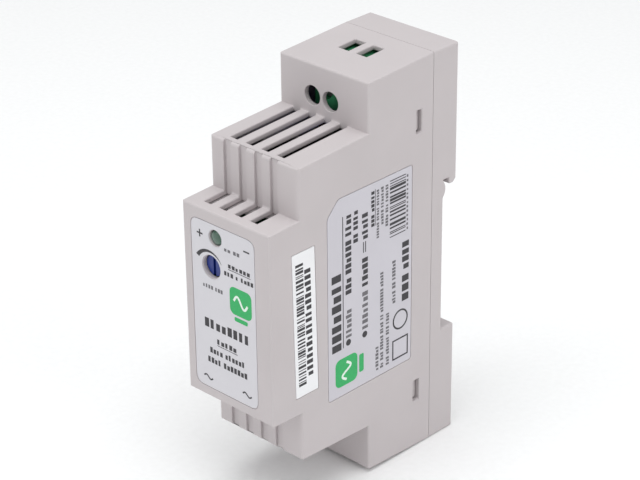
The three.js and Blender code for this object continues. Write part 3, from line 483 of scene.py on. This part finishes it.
class Print:
    """Ink of one colour on one sheet, gathered into one mesh of thin closed patches."""

    def __init__(self, sheet):
        self.sheet = sheet
        self.bm = bmesh.new()

    def patch(self, points):
        """A flat patch; points run counter-clockwise seen from outside."""
        low = [self.bm.verts.new(self.sheet.point(u, v, -INK_SUNK)) for u, v in points]
        top = [self.bm.verts.new(self.sheet.point(u, v, INK_PROUD)) for u, v in points]
        self.bm.faces.new(top)
        self.bm.faces.new(reversed(low))
        for i in range(len(points)):
            j = (i + 1) % len(points)
            self.bm.faces.new((low[i], low[j], top[j], top[i]))

    def bar(self, u, v, radius=0.0):
        """A bar from u[0] to u[1] and v[0] to v[1], its corners rounded by radius."""
        if not radius:
            self.patch([(u[0], v[0]), (u[1], v[0]), (u[1], v[1]), (u[0], v[1])])
            return
        corners = [(u[1] - radius, v[1] - radius), (u[0] + radius, v[1] - radius),
                   (u[0] + radius, v[0] + radius), (u[1] - radius, v[0] + radius)]
        points = []
        for quarter, (a, b) in enumerate(corners):
            for i in range(ARC_POINTS + 1):
                angle = (quarter + i / ARC_POINTS) * math.pi / 2
                points.append((a + radius * math.cos(angle), b + radius * math.sin(angle)))
        self.patch(points)

    def strip(self, left, right, closed=False):
        """A band between two rows of points, left lying to the left of the direction of travel."""
        rows = []
        for a, b in zip(left, right):
            rows.append([self.bm.verts.new(self.sheet.point(u, v, height))
                         for (u, v), height in (
                             (a, INK_PROUD), (b, INK_PROUD), (b, -INK_SUNK), (a, -INK_SUNK)
                         )])
        following = rows[1:] + rows[:1] if closed else rows[1:]
        for here, there in zip(rows, following):
            for k in range(4):
                j = (k + 1) % 4
                self.bm.faces.new((here[k], here[j], there[j], there[k]))
        if not closed:
            self.bm.faces.new(reversed(rows[0]))
            self.bm.faces.new(rows[-1])

    def arc(self, centre, radius, start, end, width_start, width_end, steps=28):
        """A curved band outside a circle, whose width changes from start to end, in degrees."""
        inner, outer = [], []
        for i in range(steps + 1):
            share = i / steps
            angle = math.radians(start + share * (end - start))
            reach = radius + width_start + share * (width_end - width_start)
            inner.append((centre[0] + radius * math.cos(angle), centre[1] + radius * math.sin(angle)))
            outer.append((centre[0] + reach * math.cos(angle), centre[1] + reach * math.sin(angle)))
        self.strip(outer, inner) if end < start else self.strip(inner, outer)

    def dot(self, u, v, radius, sides=20):
        turn = 2 * math.pi / sides
        self.patch([(u + radius * math.cos(turn * i), v + radius * math.sin(turn * i))
                    for i in range(sides)])

    def frame(self, u, v, stroke):
        """A square outline."""
        outer = [(u[0], v[0]), (u[1], v[0]), (u[1], v[1]), (u[0], v[1])]
        inner = [(u[0] + stroke, v[0] + stroke), (u[1] - stroke, v[0] + stroke),
                 (u[1] - stroke, v[1] - stroke), (u[0] + stroke, v[1] - stroke)]
        self.strip(inner, outer, closed=True)

    def wave(self, centre, length, height, stroke, upward=False):
        """One period of a sine line, along u, or along v when upward."""
        left, right = [], []
        for i in range(WAVE_POINTS + 1):
            share = i / WAVE_POINTS
            along = (share - 0.5) * length
            across = height * math.sin(2 * math.pi * share)
            slope = height * 2 * math.pi / length * math.cos(2 * math.pi * share)
            tilt = math.hypot(1, slope)
            normal = (-slope / tilt, 1 / tilt)
            for side, points in ((0.5, left), (-0.5, right)):
                a, b = along + side * stroke * normal[0], across + side * stroke * normal[1]
                points.append((centre[0] - b, centre[1] + a) if upward else (centre[0] + a, centre[1] + b))
        self.strip(left, right)

    def words(self, start, length, cap, words, seed, upward=False, cover=0.74):
        """A line of plain blocks in groups, in place of lettering."""
        draw = random.Random(seed)
        advance = length / (sum(words) + 0.6 * (len(words) - 1))
        place = 0.0
        for count in words:
            for _ in range(count):
                width = advance * cover * draw.choice((0.72, 0.9, 1.0, 1.0))
                height = cap * draw.choice((0.8, 1.0, 1.0, 1.0))
                near, far = place, place + width
                if upward:
                    self.bar((start[0] - height, start[0]), (start[1] + near, start[1] + far))
                else:
                    self.bar((start[0] + near, start[0] + far), (start[1], start[1] + height))
                place += advance
            place += 0.6 * advance

    def barcode(self, u, v, seed):
        """Bars along u, stacked up v, of one to three modules."""
        draw = random.Random(seed)
        module = 0.2
        place = v[0]
        while True:
            bar = module * draw.choice((1, 1, 2, 3))
            if place + bar > v[1]:
                return
            self.bar(u, (place, place + bar))
            place += bar + module * draw.choice((1, 1, 2, 2, 3))

    def finish(self, name, slot, material):
        bmesh.ops.recalc_face_normals(self.bm, faces=self.bm.faces)
        return new_piece(name, self.bm, "housing", slot, material)


def emblem(green, white, centre, half, upward=False):
    """A plain green tile with a sine line; the caller draws the bar under it."""
    u, v = centre
    green.bar((u - half, u + half), (v - half, v + half), 0.42 * half)
    white.wave(centre, 1.25 * half, 0.38 * half, 0.17 * half, upward)


def front_print():
    sheet = Sheet("front_label", (1, 0, 0), (0, -1, 0))
    dark, grey, green, white = (Print(sheet) for _ in range(4))
    plus, minus, sign, stroke = (-7.6, 16.1), (5.9, 16.3), 0.85, 0.34
    for centre in (plus, minus):
        dark.bar((centre[0] - sign, centre[0] + sign), (centre[1] - stroke / 2, centre[1] + stroke / 2))
    for side in (1, -1):
        near, far = sorted((plus[1] + side * stroke / 2, plus[1] + side * sign))
        dark.bar((plus[0] - stroke / 2, plus[0] + stroke / 2), (near, far))
    grey.words((-0.5, 14.4), 4.6, 0.8, (2, 2), seed=1)

    low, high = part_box("trimmer_rotor")
    dial = (low[0] + high[0]) / 2 / MM, ((low[2] + high[2]) / 2 - HOUSING_MIDDLE) / MM
    dark.arc((dial[0] - 0.2, dial[1] - 0.6), 3.8, 150, 33, 0.95, 0.06)
    grey.words((dial[0] - 2.6, dial[1] - 5.2), 5.9, 0.85, (4, 3), seed=2)

    dark.words((0.5, 10.9), 6.5, 0.85, (6,), seed=3)
    dark.bar((0.5, 6.9), (10.5, 10.64))
    dark.words((-0.7, 8.9), 8.55, 0.95, (3, 1, 4), seed=4)

    emblem(green, white, (3.85, 3.9), 3.15)
    green.bar((1.95, 5.75), (-0.7, 0.25), 0.3)

    dark.words((-7.0, -5.15), 13.45, 2.1, (8,), seed=5)
    dark.words((-3.5, -8.3), 5.95, 1.15, (5,), seed=6)
    dark.bar((-3.5, 2.45), (-8.72, -8.58))
    dark.words((-5.7, -11.0), 10.45, 1.3, (4, 6), seed=7)
    dark.words((-6.4, -13.4), 11.8, 1.3, (4, 7), seed=8)
    for centre in ((-6.5, -17.3), (5.0, -17.1)):
        dark.wave(centre, 2.6, 0.42, 0.34)

    dark.finish("front_print_dark", "label_film", INK_DARK)
    grey.finish("front_print_grey", "label_film", INK_GREY)
    green.finish("front_print_green", "label_film", INK_GREEN)
    raise_print(white.finish("front_print_white", "label_film", INK_WHITE), sheet)


def raise_print(piece, sheet):
    """Overprinting lies on the colour below it."""
    piece.data.transform(Matrix.Translation(0.6 * INK_PROUD * sheet.out))


# Each row of the rating label: baseline, start, length, cap height, characters in each word.
RATING_BOLD = [
    (-31.6, -12.0, 18.6, 2.8, (8,)),
    (-28.5, 0.35, 18.8, 1.75, (3, 6, 4)),
    (-26.5, 11.5, 7.5, 1.35, (2, 4)),
    (-23.5, 0.35, 6.95, 1.75, (5,)),
    (-23.5, 11.3, 6.2, 1.75, (5,)),
    (-21.5, 13.2, 8.3, 0.95, (3, 5)),
    (-10.75, -8.0, 6.9, 2.1, (3,)),
    (-10.75, -0.4, 6.95, 2.1, (4,)),
]
RATING_LIGHT = [
    (-28.5, -9.9, 6.9, 1.7, (6,)),
    (-23.5, -9.85, 9.2, 1.7, (7,)),
    (-20.1, 10.0, 11.3, 0.7, (6, 5, 6)),
    (-18.7, 12.7, 8.8, 0.8, (5, 7)),
    (-17.3, 11.8, 9.8, 0.8, (4, 3, 6)),
    (-14.9, -7.4, 10.4, 1.05, (4, 2, 6)),
    (-20.2, -21.6, 6.1, 0.9, (7,)),
    (-18.7, -21.6, 23.3, 0.95, (2, 3, 5, 4, 2, 8, 5)),
    (-16.9, -21.6, 12.9, 0.95, (3, 6, 3, 4)),
]


def rating_print():
    sheet = Sheet("rating_label", (0, 1, 0), (1, 0, 0))
    dark, grey, green, white = (Print(sheet) for _ in range(4))
    for ink_print, rows, first_seed in ((dark, RATING_BOLD, 11), (grey, RATING_LIGHT, 31)):
        for i, (baseline, start, length, cap, words) in enumerate(rows):
            ink_print.words((baseline, start), length, cap, words, first_seed + i, upward=True)
    dark.bar((-31.12, -30.9), (-11.9, 18.7))
    for centre in ((-29.45, -11.1), (-24.45, -11.2)):
        dark.dot(*centre, 0.75)
    for u in (-24.95, -24.3):
        dark.bar((u, u + 0.24), (8.2, 10.7))
    dark.bar((-21.28, -21.14), (13.2, 21.5))
    dark.barcode((-16.75, -11.85), (8.6, 22.0), seed=51)
    grey.words((-11.1, 8.7), 13.2, 0.5, (13,), 52, upward=True, cover=0.55)
    dark.arc((-13.3, -12.1), 2.0, 0, 359.9, 0.4, 0.4, steps=40)
    dark.frame((-15.8, -10.8), (-21.5, -16.6), 0.36)
    emblem(green, white, (-30.1, -17.6), 3.35, upward=True)
    green.bar((-26.2, -24.8), (-19.8, -15.5), 0.35)

    dark.finish("rating_print_dark", "label_film", INK_DARK)
    grey.finish("rating_print_grey", "label_film", INK_GREY)
    green.finish("rating_print_green", "label_film", INK_GREEN)
    raise_print(white.finish("rating_print_white", "label_film", INK_WHITE), sheet)


SERIAL_LEAN = 0.02


def serial_print():
    sheet = Sheet("serial_label", (0, 1, 0), (1, 0, 0), SERIAL_LEAN)
    dark = Print(sheet)
    dark.barcode((-44.6, -42.4), (-15.6, 13.1), seed=61)
    dark.words((-40.35, -14.0), 25.4, 1.75, (18,), 62, upward=True, cover=0.66)
    dark.finish("serial_print_dark", "label_paper", INK_DARK)


# ---------------------------------------------------------------- camera, lights and floor
CAMERA = {"azimuth": 44.164, "elevation": 27.055, "roll": -0.648, "distance": 0.46677, "lens": 123.93}
AIM = Vector((-2.26, -22.49, 7.0)) * MM
SENSOR = 36.0
FLOOR_HALF = 3.0
FLOOR_CELLS = 8
FLOOR_GAP = 0.05 * MM


def direction(azimuth, elevation):
    """Away from the object; azimuth 0 is in front of it and grows towards its right side."""
    a, e = math.radians(azimuth), math.radians(elevation)
    return Vector((math.sin(a) * math.cos(e), -math.cos(a) * math.cos(e), math.sin(e)))


def add_camera():
    data = bpy.data.cameras.new("camera")
    data.lens = CAMERA["lens"]
    data.sensor_width = SENSOR
    data.clip_start = 0.01
    data.clip_end = 20
    camera = bpy.data.objects.new("camera", data)
    back = direction(CAMERA["azimuth"], CAMERA["elevation"])
    camera.location = AIM + CAMERA["distance"] * back
    level = back.to_track_quat("Z", "Y").to_matrix()
    roll = Matrix.Rotation(math.radians(CAMERA["roll"]), 3, "Z")
    camera.rotation_euler = (level @ roll).to_euler()
    bpy.context.scene.collection.objects.link(camera)
    bpy.context.scene.camera = camera


def add_area(name, azimuth, elevation, distance, size, power, colour=(1, 1, 1)):
    data = bpy.data.lights.new(name, "AREA")
    data.shape = "SQUARE"
    data.size = size
    data.energy = power
    data.color = colour
    lamp = bpy.data.objects.new(name, data)
    back = direction(azimuth, elevation)
    lamp.location = AIM + distance * back
    lamp.rotation_euler = back.to_track_quat("Z", "Y").to_euler()
    bpy.context.scene.collection.objects.link(lamp)


def add_lights():
    add_area("softbox_above", 20, 80, 0.9, 0.9, 6.5, (0.98, 1.0, 1.0))
    add_area("softbox_right", 100, 25, 0.9, 0.7, 1.8)
    add_area("softbox_front", -20, 20, 1.0, 0.7, 1.5)
    world = bpy.data.worlds.new("studio")
    world.use_nodes = True
    background = world.node_tree.nodes["Background"]
    background.inputs["Color"].default_value = (0.95, 0.955, 0.965, 1)
    background.inputs["Strength"].default_value = 0.48
    bpy.context.scene.world = world
    bpy.context.scene.view_settings.view_transform = "Standard"


def add_floor():
    low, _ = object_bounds()
    bm = bmesh.new()
    bmesh.ops.create_grid(bm, x_segments=FLOOR_CELLS, y_segments=FLOOR_CELLS, size=FLOOR_HALF)
    mesh = bpy.data.meshes.new("floor")
    bm.to_mesh(mesh)
    bm.free()
    floor = bpy.data.objects.new("floor", mesh)
    floor.location.z = low[2] - FLOOR_GAP
    bpy.context.scene.collection.objects.link(floor)
    shader = Shader("floor_paper")
    grain = shader.noise(1.5 * MM, detail=3)
    shader.colour(shader.ramp(grain, [(0.3, (0.94, 0.94, 0.94)), (0.7, (0.97, 0.97, 0.97))]))
    shader.roughness(grain, 0.75, 0.85)
    mesh.materials.append(shader.material)


finish_nodes()
latch_spring()
front_print()
rating_print()
serial_print()
add_camera()
add_lights()
add_floor()
